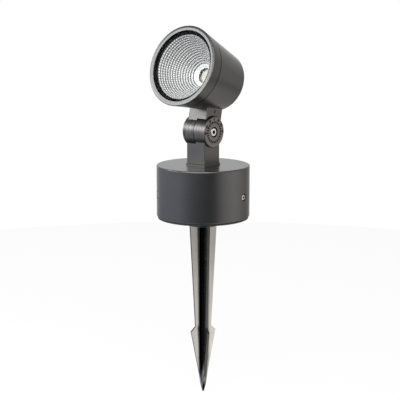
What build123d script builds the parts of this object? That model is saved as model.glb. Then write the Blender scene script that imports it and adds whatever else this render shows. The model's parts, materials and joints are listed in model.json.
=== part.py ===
from build123d import *
from math import cos, radians, sin, sqrt, tan
import os

# Garden spike spotlight, millimetres. The origin is where the base's underside meets the
# spike's collar, at ground level. +Z is up, the head faces -Y and tilts about X.

# ---- fits ----
RUN_FIT = 0.05          # radial, a shaft that turns in its bore
SLIP_FIT = 0.3          # radial or sideways, pieces that pass each other
THREAD_FIT = 0.04       # radial, a thread drawn as a plain shaft
FACE_FIT = 0.05         # between faces that slide on each other
PAST = 1.0              # how far a cut runs past the face where it starts

# ---- base ----
BASE_R = 60.0
BASE_HEIGHT = 66.0
BASE_WALL = 4.0
BASE_ROOF = 5.0
BASE_TOP_EDGE = 1.3
BASE_FOOT_EDGE = 0.6
PLATE_INSET = 1.4
PLATE_T = 2.0
PLATE_PAD_R = 14.0
PLATE_PAD_T = 4.0
GASKET_T = 0.8

# ---- socket screws, shares of the head's height ----
SOCKET_DEPTH_SHARE = 0.6
HEAD_ROUND_SHARE = 0.15

# ---- side screws and their uprights ----
SIDE_SCREW_Z = 31.5
SIDE_SCREW_ANGLE = 30.5     # azimuth of the middle between the two front screws
SIDE_SPREAD_ANGLE = 68.5    # from that middle to either front screw
SIDE_SCREW_R = 2.0
SIDE_HEAD_R = 3.5
SIDE_HEAD_H = 2.6
SIDE_HEAD_ROOM = 1.3        # radial, between a screw's head and its recess
SIDE_SOCKET_AF = 3.0
SIDE_SCREW_SPARE = 2.0      # length of a side screw behind its upright
SIDE_RECESS_DEPTH = 3.1
SIDE_PAD_DEPTH = 4.5
SIDE_PAD_R = 8.0
UPRIGHT_T = 3.0
UPRIGHT_W = 16.0
UPRIGHT_FOOT = 14.0
UPRIGHT_ABOVE = 8.0         # height of an upright above its screw

# ---- ground spike ----
COLLAR_R = 19.0
COLLAR_H = 10.4
COLLAR_EDGE = 1.0
FIN_T = 3.2
FIN_ROOT_R = 5.0
FIN_TOP_INSET = 0.1         # the fins' top inside the collar's rim
FIN_NECK_HALF = 11.0
FIN_BARB_HALF = 17.3
SHANK_LENGTH = 136.0
BARB_DROP = 6.5
POINT_LENGTH = 84.0
TIP_HALF = 0.8
SPIKE_ANGLE = 64.0          # azimuth of the front fin
STUD_R = 5.0
STUD_SEAT = 8.0             # depth of the stud in the collar
STUD_SPARE = 3.0
STUD_WASHER_R = 10.5
STUD_WASHER_T = 2.0
STUD_NUT_AF = 16.0
STUD_NUT_H = 8.0

# ---- driver and terminal block, on the bottom plate ----
DRIVER_W = 30.0
DRIVER_H = 25.0
DRIVER_WALL = 1.8
DRIVER_GAP = 0.8            # between the driver and the plate's pad
DRIVER_WALL_GAP = 2.1       # between the driver's corners and the base's wall
DRIVER_ANGLE = 30.5         # azimuth of the driver
DRIVER_EAR = 3.0
DRIVER_SCREW_R = 1.5
DRIVER_HEAD_R = 2.7
DRIVER_HEAD_H = 1.6
BOARD_T = 1.6
BOARD_LIFT = 3.0
COIL_H = 14.0
COIL_W = 16.0
COIL_SHARE = 0.3            # length of the coil as a share of the driver's
CAN_R = 4.6
CAN_H = 12.5
CAN_GAP = 0.5               # between the coil and the cans beside it
TERMINAL_L = 32.0
TERMINAL_W = 16.0
TERMINAL_H = 15.0
TERMINAL_EDGE = 1.2
TERMINAL_WALL_GAP = 7.3     # between the block's corners and the base's wall
TERMINAL_ANGLE = 265.0
TERMINAL_SCREW_R = 1.7
TERMINAL_SCREW_DROP = 1.5   # the screws' tops below the block's
TERMINAL_COUNT = 3

# ---- leads ----
LEAD_R = 1.1
LEAD_OVER_BOARD = 0.4       # between the driver's leads and its board
LEAD_IN = 3.0               # length of a lead inside what it enters
LEAD_EDGE = 11.0            # from the driver's end to its first lead
LEAD_PITCH = 6.0            # between the driver's leads
LEAD_BEND = 2.5
LEAD_PAIR = 1.6             # from the middle of the emitter's leads to either
LEAD_FROM_HOLDER = 3.5      # the emitter's leads pass this far below the holder

# ---- cable gland, in the rear wall ----
GLAND_Z = 18.0
GLAND_BORE_R = 5.2
GLAND_THREAD_R = 8.0
GLAND_HEX_AF = 22.0
GLAND_HEX_T = 6.0
GLAND_NECK = 9.0
GLAND_CAP_R = 10.0
GLAND_CAP_L = 14.0
GLAND_CAP_WALL = 2.6
GLAND_CAP_MOUTH_R = 4.7
GLAND_CAP_HEX_AF = 20.9
GLAND_CAP_HEX_T = 7.7
GLAND_CAP_SHOULDER_R = 9.2
GLAND_CAP_END_R = 7.4
GLAND_INNER = 10.0          # length of thread inside the wall
GLAND_NUT_T = 4.0
GLAND_SPOT_R = 13.2
GLAND_SPOT_DEPTH = 1.6      # flat spot face outside, under the hex
GLAND_BOSS_W = 3.0          # width of the flat inside, round the thread
CABLE_R = 4.0
CABLE_FIT = 0.1

# ---- swivel under the post ----
SPIGOT_R = 11.0
SPIGOT_FLAT_DROP = 1.2      # the flat on the spigot, below its round
SPIGOT_BOSS_W = 7.0
SPIGOT_BOSS_DEPTH = 5.0
WIRE_BORE_R = 3.5
WIRE_BORE_X = 5.0
STOP_WASHER_T = 1.6
STOP_WASHER_W = 6.0
STOP_TAB_R = 24.0
STOP_TAB_W = 5.0
STOP_LUG_W = 4.0
STOP_LUG_L = 5.0
SPRING_WASHER_T = 1.4
SPRING_WASHER_W = 5.0
PAN_NUT_W = 5.0
PAN_NUT_T = 6.0
PAN_NUT_SLOTS = 4
PAN_SLOT_W = 4.0
PAN_SLOT_DEPTH = 2.0
SPIGOT_SPARE = 1.5
FOOT_RING_OUT = 2.2         # the foot ring's middle outside the spigot
FOOT_RING_HALF = 0.9

# ---- post, joint and arm ----
POST_SIDE = 30.0
POST_CORNER = 1.3
FOOT_PROUD = 0.8
FOOT_H = 2.6
TILT_RISE = 43.2            # tilt axis above the base's top
DRUM_R = 19.5
DRUM_HALF = 18.3
DRUM_EDGE = 0.5
SADDLE_GAP = 1.5
SEAM = 0.8
CHAMBER_W = 5.4             # width of the round wire chamber in each half drum
CHAMBER_DEPTH = 8.2
HUB_WALL = 2.6              # round the bush, inside the chamber
RING_LIP = 0.4              # the friction ring's bore outside the chamber
RING_INSET = 0.5
BUSH_WALL = 1.7
BUSH_HALF = 7.0
CLAMP_R = 3.0
CLAMP_HEAD_R = 5.25
CLAMP_HEAD_H = 6.0
CLAMP_HEAD_ROOM = 1.55      # radial, between the screw's head and its recess
CLAMP_RECESS_DEPTH = 6.5
CLAMP_SOCKET_AF = 5.0
CLAMP_NUT_AF = 10.0
CLAMP_NUT_T = 5.0
CLAMP_NUT_POCKET = 7.0
CLAMP_SPARE = 1.2
DIAL_TICKS = 24
DIAL_MARGIN = 5.2           # the ticks' outer ends inside the drum's rim
DIAL_TICK_L = 3.0
DIAL_TICK_W = 0.7
MARK_DEPTH = 0.3
INDEX_MARK_L = 4.4
INDEX_MARK_W = 1.0
INDEX_MARK_RISE = 26.0      # middle of the index mark along the arm, from the tilt axis

ARM_TILT_ANGLE = 11.5       # the arm leans back from upright
ARM_SEAT_RISE = 2.6         # top of the arm's seat above the housing's inner wall
ARM_BOLT_R = 2.0
ARM_BOLT_HEAD_R = 3.5
ARM_BOLT_HEAD_H = 4.0
ARM_BOLT_L = 12.0
ARM_BOLT_SOCKET_AF = 3.0
ARM_BOLT_SPARE = 1.0        # depth of a bolt's hole past the bolt
ARM_BOLT_X = 8.5
ARM_BOLT_Y = 9.0
ARM_SEAT_X = 28.0
ARM_SEAT_Y = 27.0

# ---- head: r from the head's axis, and depth behind its front plane ----
HEAD_TILT_ANGLE = 18.5      # the head looks up from level
HEAD_CLEAR = 16.5           # the head's widest edge above the tilt axis
HEAD_BACK_REACH = 17.6      # the head's back behind the tilt axis
HEAD_R = 51.5
HEAD_TAPER_ANGLE = 9.6
HEAD_LENGTH = 85.0
HEAD_WALL = 3.5
HEAD_BACK_T = 4.0
HEAD_BACK_EDGE = 6.0
BEZEL_LENGTH = 17.5
BEZEL_EDGE = 0.9
BEZEL_RIM_W = 6.1           # from the glass to the bezel's outside
BEZEL_FACE_W = 3.0
BEZEL_BEVEL_DROP = 0.5
NECK_WALL = 3.4
NECK_INSET = 1.0            # the housing's neck inside the glass's edge
GROOVE_W = 1.3
GROOVE_DEPTH = 1.4
GLASS_FIT = 0.2
GLASS_T = 3.0
GLASS_EDGE = 0.4
GLASS_RECESS = 0.8
LENS_GASKET_T = 0.8
LENS_GASKET_W = 3.6
SHELF_W = 3.0
SHELF_T = 2.6

# ---- reflector and emitter ----
REFLECTOR_APERTURE_R = 10.0
REFLECTOR_WALL = 1.0
REFLECTOR_FLANGE_T = 1.2
REFLECTOR_STEPS = 6         # points on its curve, besides the first
HOLDER_RIM_W = 4.0          # outside the holder's screws
HOLDER_H = 5.0
HOLDER_SEAT = 2.5           # from the holder's back to its screws' heads
HOLDER_HOLE_ROOM = 0.3      # radial, between the aperture and the holder's hole
EMITTER_INSET = 1.1         # the emitter inside the holder's hole
EMITTER_T = 0.8
COB_SIDE = 24.0
COB_T = 1.6
SPREADER_T = 5.0
SPREADER_RIM_W = 4.5        # outside the spreader's screws
SPREADER_CLEAR = 4.0        # between the spreader's flat and the arm's bolts
SPREADER_POST_R = 4.0
SPREADER_POST_L = 21.2
SPREADER_POSTS = 3
SPREADER_SCREW_R = 1.5
SPREADER_SCREW_HEAD_R = 2.7
SPREADER_SCREW_HEAD_H = 1.8
SPREADER_HEAD_GAP = 0.8     # between those heads and the holder
SCREW_END_GAP = 1.0         # between a holder screw's end and the spreader's back
SPREADER_SCREW_END = 3.0    # between a spreader screw's end and the housing's back wall
HOLDER_SCREW_GAP = 4.0      # from the board's edge to the middle of a screw
HOLDER_SCREW_R = 1.2
HOLDER_SCREW_HEAD_R = 2.2
HOLDER_SCREW_HEAD_H = 1.4

# ---- places worked out from the sizes ----
BASE_Z = PLATE_T + GASKET_T
BASE_TOP = BASE_Z + BASE_HEIGHT
BASE_IN_R = BASE_R - BASE_WALL
PLATE_R = BASE_R - PLATE_INSET
PLATE_PAD_Z = PLATE_T + PLATE_PAD_T
TILT_Z = BASE_TOP + TILT_RISE
SIDE_RECESS_R = SIDE_HEAD_R + SIDE_HEAD_ROOM
SIDE_FLOOR = BASE_R - SIDE_RECESS_DEPTH
SIDE_PAD_FACE = BASE_IN_R - SIDE_PAD_DEPTH
SIDE_AZIMUTHS = [
    SIDE_SCREW_ANGLE + SIDE_SPREAD_ANGLE,
    SIDE_SCREW_ANGLE - SIDE_SPREAD_ANGLE,
    SIDE_SCREW_ANGLE + 180,
]

DRIVER_REACH = PLATE_PAD_R + DRIVER_GAP + DRIVER_W / 2   # base's axis to the driver's middle
DRIVER_L = 2 * sqrt((BASE_IN_R - DRIVER_WALL_GAP) ** 2 - (DRIVER_REACH + DRIVER_W / 2) ** 2)
BOARD_Z = PLATE_T + DRIVER_WALL + BOARD_LIFT
BOARD_TOP = BOARD_Z + BOARD_T
LEAD_Z = BOARD_TOP + LEAD_OVER_BOARD + LEAD_R
TERMINAL_CORNER_R = BASE_IN_R - TERMINAL_WALL_GAP
TERMINAL_REACH = sqrt(TERMINAL_CORNER_R ** 2 - TERMINAL_L ** 2 / 4) - TERMINAL_W / 2
GLAND_SEAT = BASE_R - GLAND_SPOT_DEPTH
GLAND_NECK_START = GLAND_SEAT + GLAND_HEX_T
GLAND_NECK_END = GLAND_NECK_START + GLAND_NECK

ROOF_UNDER = BASE_TOP - BASE_ROOF - SPIGOT_BOSS_DEPTH
STOP_WASHER_Z = ROOF_UNDER - FACE_FIT
SPRING_WASHER_Z = STOP_WASHER_Z - STOP_WASHER_T
PAN_NUT_Z = SPRING_WASHER_Z - SPRING_WASHER_T
SPIGOT_END_Z = PAN_NUT_Z - PAN_NUT_T - SPIGOT_SPARE
SPIGOT_FLAT = SPIGOT_R - SPIGOT_FLAT_DROP
FOOT_RING_OUTER = SPIGOT_R + FOOT_RING_OUT + FOOT_RING_HALF
FOOT_RING_INNER = SPIGOT_R + FOOT_RING_OUT - FOOT_RING_HALF

POST_HALF = POST_SIDE / 2
SADDLE_R = DRUM_R + SADDLE_GAP
BUSH_R = CLAMP_R + SLIP_FIT + BUSH_WALL
CHAMBER_HUB_R = BUSH_R + HUB_WALL
CHAMBER_R = CHAMBER_HUB_R + CHAMBER_W
CHAMBER_MID_R = CHAMBER_HUB_R + CHAMBER_W / 2
CLAMP_RECESS_R = CLAMP_HEAD_R + CLAMP_HEAD_ROOM
CLAMP_SEAT = DRUM_HALF - CLAMP_RECESS_DEPTH
CLAMP_NUT_SEAT = CLAMP_NUT_POCKET - DRUM_HALF

HEAD_SLOPE = tan(radians(HEAD_TAPER_ANGLE))
HEAD_RISE = HEAD_R + HEAD_CLEAR             # head's axis above the tilt axis
HEAD_REACH = HEAD_LENGTH - HEAD_BACK_REACH  # front plane ahead of the tilt axis
GLASS_R = HEAD_R - BEZEL_RIM_W
NECK_R = GLASS_R - NECK_INSET
HEAD_BORE_R = NECK_R - NECK_WALL
SHELF_IN = GLASS_R - SHELF_W
SHELF_TOP = GLASS_RECESS + GLASS_T + LENS_GASKET_T
SHELF_UNDER = SHELF_TOP + SHELF_T
NECK_FRONT = SHELF_UNDER + REFLECTOR_FLANGE_T
SHOULDER = BEZEL_LENGTH + GROOVE_W

CAVITY_END = HEAD_LENGTH - HEAD_BACK_T
SPREADER_BACK = CAVITY_END - SPREADER_POST_L
COB_BACK = SPREADER_BACK - SPREADER_T
HOLDER_BACK = COB_BACK - COB_T
APERTURE_DEPTH = HOLDER_BACK - HOLDER_H
REFLECTOR_FRONT = SHELF_TOP + FACE_FIT
REFLECTOR_DEPTH = APERTURE_DEPTH - REFLECTOR_FRONT
REFLECTOR_RIM_R = SHELF_IN - REFLECTOR_WALL - GLASS_FIT
HOLDER_HOLE_R = REFLECTOR_APERTURE_R + HOLDER_HOLE_ROOM
HOLDER_SCREW_AT = COB_SIDE / 2 + HOLDER_SCREW_GAP
HOLDER_R = HOLDER_SCREW_AT + HOLDER_RIM_W
SPREADER_SCREW_AT = HOLDER_R + SPREADER_HEAD_GAP + SPREADER_SCREW_HEAD_R
SPREADER_R = SPREADER_SCREW_AT + SPREADER_RIM_W

# the arm's axis in the head: its lean to the head's upright, and how far it runs in
LEAN_COS = cos(radians(HEAD_TILT_ANGLE - ARM_TILT_ANGLE))
LEAN_SIN = sin(radians(HEAD_TILT_ANGLE - ARM_TILT_ANGLE))
ARM_TOP = (HEAD_CLEAR + HEAD_REACH * HEAD_SLOPE + HEAD_WALL + ARM_SEAT_RISE) / (
    LEAN_COS + LEAN_SIN * HEAD_SLOPE
)
BOLT_TOPS = HEAD_RISE - (ARM_TOP + ARM_BOLT_HEAD_H) * LEAN_COS + ARM_BOLT_Y * LEAN_SIN
SPREADER_FLAT = BOLT_TOPS - SPREADER_CLEAR

ARM = Pos(0, 0, TILT_Z) * Rot(X=-ARM_TILT_ANGLE)
HEAD = Pos(0, 0, TILT_Z) * Rot(X=90 - HEAD_TILT_ANGLE) * Pos(0, HEAD_RISE, HEAD_REACH)
GLAND = Pos(0, 0, GLAND_Z) * Rot(Z=90) * Rot(Y=90)
DRIVER = Rot(Z=DRIVER_ANGLE) * Pos(0, -DRIVER_REACH, 0)
TERMINAL = Rot(Z=TERMINAL_ANGLE) * Pos(0, -TERMINAL_REACH, 0)


def rod(radius, low, high, at=(0, 0)):
    """Cylinder along Z from low to high."""
    return Pos(at[0], at[1], (low + high) / 2) * Cylinder(radius, high - low)


def ring(outer, inner, low, high):
    """Ring about Z from low to high."""
    return rod(outer, low, high) - rod(inner, low - PAST, high + PAST)


def block(x, y, z):
    """Box from three (low, high) pairs."""
    size = [high - low for low, high in (x, y, z)]
    middle = [(high + low) / 2 for low, high in (x, y, z)]
    return Pos(*middle) * Box(*size)


def hex_rod(across_flats, low, high):
    """Hexagonal bar along Z from low to high."""
    outline = RegularPolygon(across_flats / sqrt(3), 6)
    return extrude(Pos(0, 0, low) * outline, high - low)


def turned(points):
    """Solid of revolution about Z of an outline of (r, z) points."""
    outline = make_face(Polyline([(r, 0, z) for r, z in points], close=True))
    return revolve(outline, Axis.Z)


def along_x(shape):
    """Turns a shape made along +Z to lie along +X, at the tilt axis."""
    return Pos(0, 0, TILT_Z) * Rot(Y=90) * shape


def radial(azimuth, z):
    """Frame at height z whose +Z points outwards from the base's axis."""
    return Pos(0, 0, z) * Rot(Z=azimuth - 90) * Rot(Y=90)


def place_in(frame, point):
    """World point of a point given in a frame."""
    return (frame * Pos(*point)).position


def tube(points, bend, radius):
    """Wire along straight runs joined by arcs."""
    path = FilletPolyline(*points, radius=bend)
    section = Plane(origin=path @ 0, z_dir=path % 0) * Circle(radius)
    return sweep(section, path=path)


def cap_screw(radius, length, head_r, head_h, socket_af):
    """Socket screw along Z: its head sits on z = 0 and its shank points down."""
    head = rod(head_r, 0, head_h)
    head = fillet(head.edges().group_by(Axis.Z)[-1], head_h * HEAD_ROUND_SHARE)
    socket = hex_rod(socket_af, head_h * (1 - SOCKET_DEPTH_SHARE), head_h + PAST)
    return head + rod(radius, -length, 0) - socket


def cone_r(depth):
    """Outer radius of the head at a depth behind its front plane."""
    return HEAD_R - depth * HEAD_SLOPE


def bowl_r(depth):
    """Inner radius of the parabolic reflector at a depth behind the front plane."""
    share = (APERTURE_DEPTH - depth) / REFLECTOR_DEPTH
    aperture_sq = REFLECTOR_APERTURE_R ** 2
    return sqrt(aperture_sq + share * (REFLECTOR_RIM_R ** 2 - aperture_sq))


# ---- base ----
def make_base_housing():
    body = rod(BASE_R, BASE_Z, BASE_TOP)
    body = fillet(body.edges().group_by(Axis.Z)[-1], BASE_TOP_EDGE)
    body = chamfer(body.edges().group_by(Axis.Z)[0], BASE_FOOT_EDGE)
    roof_z = BASE_TOP - BASE_ROOF
    body -= rod(BASE_IN_R, BASE_Z - PAST, roof_z)
    body += rod(SPIGOT_R + SPIGOT_BOSS_W, ROOF_UNDER, roof_z)
    body += block(
        (-STOP_LUG_W / 2, STOP_LUG_W / 2),
        (STOP_TAB_R - STOP_LUG_L, STOP_TAB_R),
        (SPRING_WASHER_Z, roof_z),
    )
    for azimuth in SIDE_AZIMUTHS:
        body += radial(azimuth, SIDE_SCREW_Z) * rod(SIDE_PAD_R, SIDE_PAD_FACE, SIDE_FLOOR)
    for azimuth in SIDE_AZIMUTHS:
        frame = radial(azimuth, SIDE_SCREW_Z)
        body -= frame * rod(SIDE_SCREW_R + SLIP_FIT, SIDE_PAD_FACE - PAST, BASE_R + PAST)
        body -= frame * rod(SIDE_RECESS_R, SIDE_FLOOR, BASE_R + PAST)
    inner_face = BASE_IN_R - GLAND_SPOT_DEPTH
    body += GLAND * rod(GLAND_THREAD_R + GLAND_BOSS_W, inner_face, GLAND_SEAT)
    body -= GLAND * rod(GLAND_SPOT_R, GLAND_SEAT, BASE_R + PAST)
    body -= GLAND * rod(GLAND_THREAD_R + SLIP_FIT, inner_face - PAST, BASE_R + PAST)
    return body - rod(SPIGOT_R + RUN_FIT, ROOF_UNDER - PAST, BASE_TOP + PAST)


def make_bottom_plate():
    plate = rod(PLATE_R, 0, PLATE_T) + rod(PLATE_PAD_R, 0, PLATE_PAD_Z)
    return plate - rod(STUD_R + SLIP_FIT, -PAST, PLATE_PAD_Z + PAST)


def make_bottom_gasket():
    return ring(PLATE_R, BASE_IN_R, PLATE_T, BASE_Z)


def make_plate_uprights():
    side = (-UPRIGHT_W / 2, UPRIGHT_W / 2)
    back = UPRIGHT_T - SIDE_PAD_FACE
    front = -SIDE_PAD_FACE
    wall = block(side, (front, back), (PLATE_T, SIDE_SCREW_Z + UPRIGHT_ABOVE))
    foot = block(side, (front, front + UPRIGHT_FOOT), (PLATE_T, PLATE_T + UPRIGHT_T))
    upright = wall + foot
    made = []
    for azimuth in SIDE_AZIMUTHS:
        hole = radial(azimuth, SIDE_SCREW_Z) * rod(SIDE_SCREW_R + THREAD_FIT, 0, BASE_R)
        made.append(Rot(Z=azimuth) * upright - hole)
    return made


def make_base_side_screws():
    length = SIDE_FLOOR - SIDE_PAD_FACE + UPRIGHT_T + SIDE_SCREW_SPARE
    screw = cap_screw(SIDE_SCREW_R, length, SIDE_HEAD_R, SIDE_HEAD_H, SIDE_SOCKET_AF)
    seated = Pos(0, 0, SIDE_FLOOR) * screw
    return [radial(azimuth, SIDE_SCREW_Z) * seated for azimuth in SIDE_AZIMUTHS]


# ---- ground spike ----
def fin_outline():
    """Half outline of the fins against depth, mirrored about the spike's axis."""
    top = -COLLAR_H / 2
    neck = -COLLAR_H - SHANK_LENGTH
    barb = neck - BARB_DROP
    tip = barb - POINT_LENGTH
    top_half = COLLAR_R - FIN_TOP_INSET
    side = [(top_half, top), (FIN_NECK_HALF, neck), (FIN_BARB_HALF, barb), (TIP_HALF, tip)]
    mirrored = [(-x, z) for x, z in reversed(side)]
    return make_face(Polyline([(x, 0, z) for x, z in side + mirrored], close=True))


def make_ground_spike():
    tip = COLLAR_H + SHANK_LENGTH + BARB_DROP + POINT_LENGTH
    reach = max(COLLAR_R, FIN_BARB_HALF) + PAST
    cross = block((-reach, reach), (-FIN_T / 2, FIN_T / 2), (-tip, -COLLAR_H / 2))
    cross += Rot(Z=90) * cross
    roots = cross.edges().filter_by(Axis.Z).filter_by(
        lambda edge: max(abs(edge.center().X), abs(edge.center().Y)) < FIN_T
    )
    cross = fillet(roots, FIN_ROOT_R)
    envelope = extrude(fin_outline(), 2 * reach, both=True)
    fins = cross & envelope & (Rot(Z=90) * envelope)
    collar = rod(COLLAR_R, -COLLAR_H, 0)
    collar = fillet(collar.edges().group_by(Axis.Z)[0], COLLAR_EDGE)
    spike = Rot(Z=SPIKE_ANGLE - 90) * (fins + collar)
    return spike - rod(STUD_R, -STUD_SEAT, PAST)


def make_spike_stud():
    return rod(STUD_R, -STUD_SEAT, PLATE_PAD_Z + STUD_WASHER_T + STUD_NUT_H + STUD_SPARE)


def make_spike_washer():
    low = PLATE_PAD_Z
    return ring(STUD_WASHER_R, STUD_R + SLIP_FIT, low, low + STUD_WASHER_T)


def make_spike_nut():
    low = PLATE_PAD_Z + STUD_WASHER_T
    body = hex_rod(STUD_NUT_AF, low, low + STUD_NUT_H)
    return body - rod(STUD_R + THREAD_FIT, low - PAST, low + STUD_NUT_H + PAST)


# ---- driver and terminal block ----
def driver_box(inset, low, high):
    x = DRIVER_L / 2 - inset
    y = DRIVER_W / 2 - inset
    return block((-x, x), (-y, y), (low, high))


def driver_screw_places():
    x = DRIVER_L / 2 - DRIVER_EAR - DRIVER_WALL
    y = DRIVER_W / 2 - DRIVER_EAR - DRIVER_WALL
    return [(-x, -y), (x, -y), (-x, y), (x, y)]


def driver_lead_xs():
    first = LEAD_EDGE - DRIVER_L / 2
    return [first, first + LEAD_PITCH]


def make_driver_case():
    top = PLATE_T + DRIVER_H
    case = driver_box(0, PLATE_T, top)
    case -= driver_box(DRIVER_WALL, PLATE_T + DRIVER_WALL, top + PAST)
    for place in driver_screw_places():
        case += rod(DRIVER_EAR, PLATE_T, BOARD_Z, place)
    way = Rot(X=-90) * rod(LEAD_R + SLIP_FIT, DRIVER_W / 2 - DRIVER_WALL - PAST, DRIVER_W)
    for x in driver_lead_xs():
        case -= Pos(x, 0, LEAD_Z) * way
    return DRIVER * case


def make_driver_board():
    board = driver_box(DRIVER_WALL + SLIP_FIT, BOARD_Z, BOARD_TOP)
    coil_half = DRIVER_L * COIL_SHARE / 2
    coil_side = (-COIL_W / 2, COIL_W / 2)
    can_x = coil_half + CAN_GAP + CAN_R
    board += block((-coil_half, coil_half), coil_side, (BOARD_TOP, BOARD_TOP + COIL_H))
    for x in (-can_x, can_x):
        board += rod(CAN_R, BOARD_TOP, BOARD_TOP + CAN_H, (x, 0))
    for place in driver_screw_places():
        board -= rod(DRIVER_SCREW_R + SLIP_FIT, BOARD_Z - PAST, BOARD_TOP + PAST, place)
    return DRIVER * board


def make_driver_board_screws():
    made = []
    for place in driver_screw_places():
        screw = rod(DRIVER_HEAD_R, BOARD_TOP, BOARD_TOP + DRIVER_HEAD_H, place)
        screw += rod(DRIVER_SCREW_R, BOARD_Z, BOARD_TOP, place)
        made.append(DRIVER * screw)
    return made


def make_driver_lid():
    low = PLATE_T + DRIVER_H
    lid = driver_box(0, low, low + DRIVER_WALL)
    lid += driver_box(DRIVER_WALL + SLIP_FIT, low - DRIVER_WALL, low)
    return DRIVER * lid


def terminal_places():
    pitch = TERMINAL_L / TERMINAL_COUNT
    return [(number - (TERMINAL_COUNT - 1) / 2) * pitch for number in range(TERMINAL_COUNT)]


def make_terminal_block():
    top = PLATE_T + TERMINAL_H
    half_l = TERMINAL_L / 2
    half_w = TERMINAL_W / 2
    body = block((-half_l, half_l), (-half_w, half_w), (PLATE_T, top))
    body = chamfer(body.edges().group_by(Axis.Z)[-1], TERMINAL_EDGE)
    way = Rot(X=90) * rod(LEAD_R + SLIP_FIT, -half_w - PAST, half_w + PAST)
    for x in terminal_places():
        body -= rod(TERMINAL_SCREW_R + SLIP_FIT, LEAD_Z, top + PAST, (x, 0))
        body -= Pos(x, 0, LEAD_Z) * way
    return TERMINAL * body


def make_terminal_screws():
    low = LEAD_Z + LEAD_R
    high = PLATE_T + TERMINAL_H - TERMINAL_SCREW_DROP
    return [TERMINAL * rod(TERMINAL_SCREW_R, low, high, (x, 0)) for x in terminal_places()]


def lead_run(frame, x, half_width):
    """Inner end of a lead in a body's +Y side, and the lead's direction out of it."""
    end = place_in(frame, (x, half_width - LEAD_IN, LEAD_Z))
    return end, place_in(frame, (x, half_width, LEAD_Z)) - end


def make_driver_leads():
    mouths = terminal_places()[:-3:-1]
    made = []
    for mouth, x in zip(mouths, driver_lead_xs()):
        start, out = lead_run(TERMINAL, mouth, TERMINAL_W / 2)
        end, back = lead_run(DRIVER, x, DRIVER_W / 2)
        gap = end - start
        share = (gap.X * back.Y - gap.Y * back.X) / (out.X * back.Y - out.Y * back.X)
        made.append(tube([start, start + out * share, end], LEAD_BEND, LEAD_R))
    return made


# ---- cable gland, along its own +Z ----
def make_gland_body():
    low = BASE_IN_R - GLAND_INNER
    body = hex_rod(GLAND_HEX_AF, GLAND_SEAT, GLAND_NECK_START)
    body += rod(GLAND_THREAD_R, low, GLAND_SEAT)
    body += rod(GLAND_THREAD_R - THREAD_FIT, GLAND_NECK_START, GLAND_NECK_END)
    return GLAND * (body - rod(GLAND_BORE_R, low - PAST, GLAND_NECK_END + PAST))


def make_gland_seal():
    return GLAND * ring(GLAND_BORE_R, CABLE_R + CABLE_FIT, GLAND_NECK_START, GLAND_NECK_END)


def make_gland_cap():
    end = GLAND_NECK_START + GLAND_CAP_L
    flats_end = GLAND_NECK_START + GLAND_CAP_HEX_T
    body = hex_rod(GLAND_CAP_HEX_AF, GLAND_NECK_START + FACE_FIT, flats_end)
    body += turned([
        (0, flats_end),
        (GLAND_CAP_R, flats_end),
        (GLAND_CAP_SHOULDER_R, end - GLAND_CAP_WALL),
        (GLAND_CAP_END_R, end),
        (0, end),
    ])
    body -= rod(GLAND_THREAD_R, GLAND_NECK_START, GLAND_NECK_END + FACE_FIT)
    return GLAND * (body - rod(GLAND_CAP_MOUTH_R, GLAND_NECK_START, end + PAST))


def make_gland_locknut():
    face = BASE_IN_R - GLAND_SPOT_DEPTH
    body = hex_rod(GLAND_HEX_AF, face - GLAND_NUT_T, face)
    return GLAND * (body - rod(GLAND_THREAD_R + THREAD_FIT, face - GLAND_NUT_T - PAST, face + PAST))


# ---- swivel and lower post ----
def spigot_flat(fit, low, high):
    """What the spigot lacks beyond its flat, for a spigot larger by fit."""
    return block((SPIGOT_FLAT + fit, SPIGOT_R + PAST), (-SPIGOT_R, SPIGOT_R), (low, high))


def make_lower_post():
    post = block((-POST_HALF, POST_HALF), (-POST_HALF, POST_HALF), (BASE_TOP, TILT_Z))
    post = fillet(post.edges().filter_by(Axis.Z), POST_CORNER)
    foot_half = POST_HALF + FOOT_PROUD
    foot = block((-foot_half, foot_half), (-foot_half, foot_half), (BASE_TOP, BASE_TOP + FOOT_H))
    foot = fillet(foot.edges().filter_by(Axis.Z), POST_CORNER)
    post += chamfer(foot.edges().group_by(Axis.Z)[-1], FOOT_PROUD)
    post -= along_x(rod(SADDLE_R, -POST_SIDE, SEAM / 2))
    half_drum = rod(DRUM_R, SEAM / 2, DRUM_HALF)
    post += along_x(chamfer(half_drum.edges().group_by(Axis.Z)[-1], DRUM_EDGE))
    post += rod(SPIGOT_R, SPIGOT_END_Z, BASE_TOP)
    post -= along_x(ring(CHAMBER_R, CHAMBER_HUB_R, 0, SEAM / 2 + CHAMBER_DEPTH))
    post -= along_x(rod(BUSH_R + RUN_FIT, 0, BUSH_HALF + FACE_FIT))
    post -= along_x(rod(CLAMP_R + SLIP_FIT, 0, DRUM_HALF))
    post -= along_x(rod(CLAMP_RECESS_R, CLAMP_SEAT, DRUM_HALF + PAST))
    wire_top = TILT_Z - CHAMBER_MID_R
    post -= rod(WIRE_BORE_R, SPIGOT_END_Z - PAST, wire_top, (WIRE_BORE_X, 0))
    groove_top = BASE_TOP + 2 * FOOT_RING_HALF
    post -= ring(FOOT_RING_OUTER, FOOT_RING_INNER, BASE_TOP - PAST, groove_top)
    ticks_end = DRUM_R - DIAL_MARGIN
    tick = block(
        (-DIAL_TICK_W / 2, DIAL_TICK_W / 2),
        (ticks_end - DIAL_TICK_L, ticks_end),
        (DRUM_HALF - MARK_DEPTH, DRUM_HALF + PAST),
    )
    for number in range(DIAL_TICKS):
        post -= along_x(Rot(Z=number * 360 / DIAL_TICKS) * tick)
    return post - spigot_flat(0, SPIGOT_END_Z - PAST, STOP_WASHER_Z)


def make_foot_ring():
    low = BASE_TOP + FACE_FIT
    return ring(FOOT_RING_OUTER, FOOT_RING_INNER, low, BASE_TOP + 2 * FOOT_RING_HALF)


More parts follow.
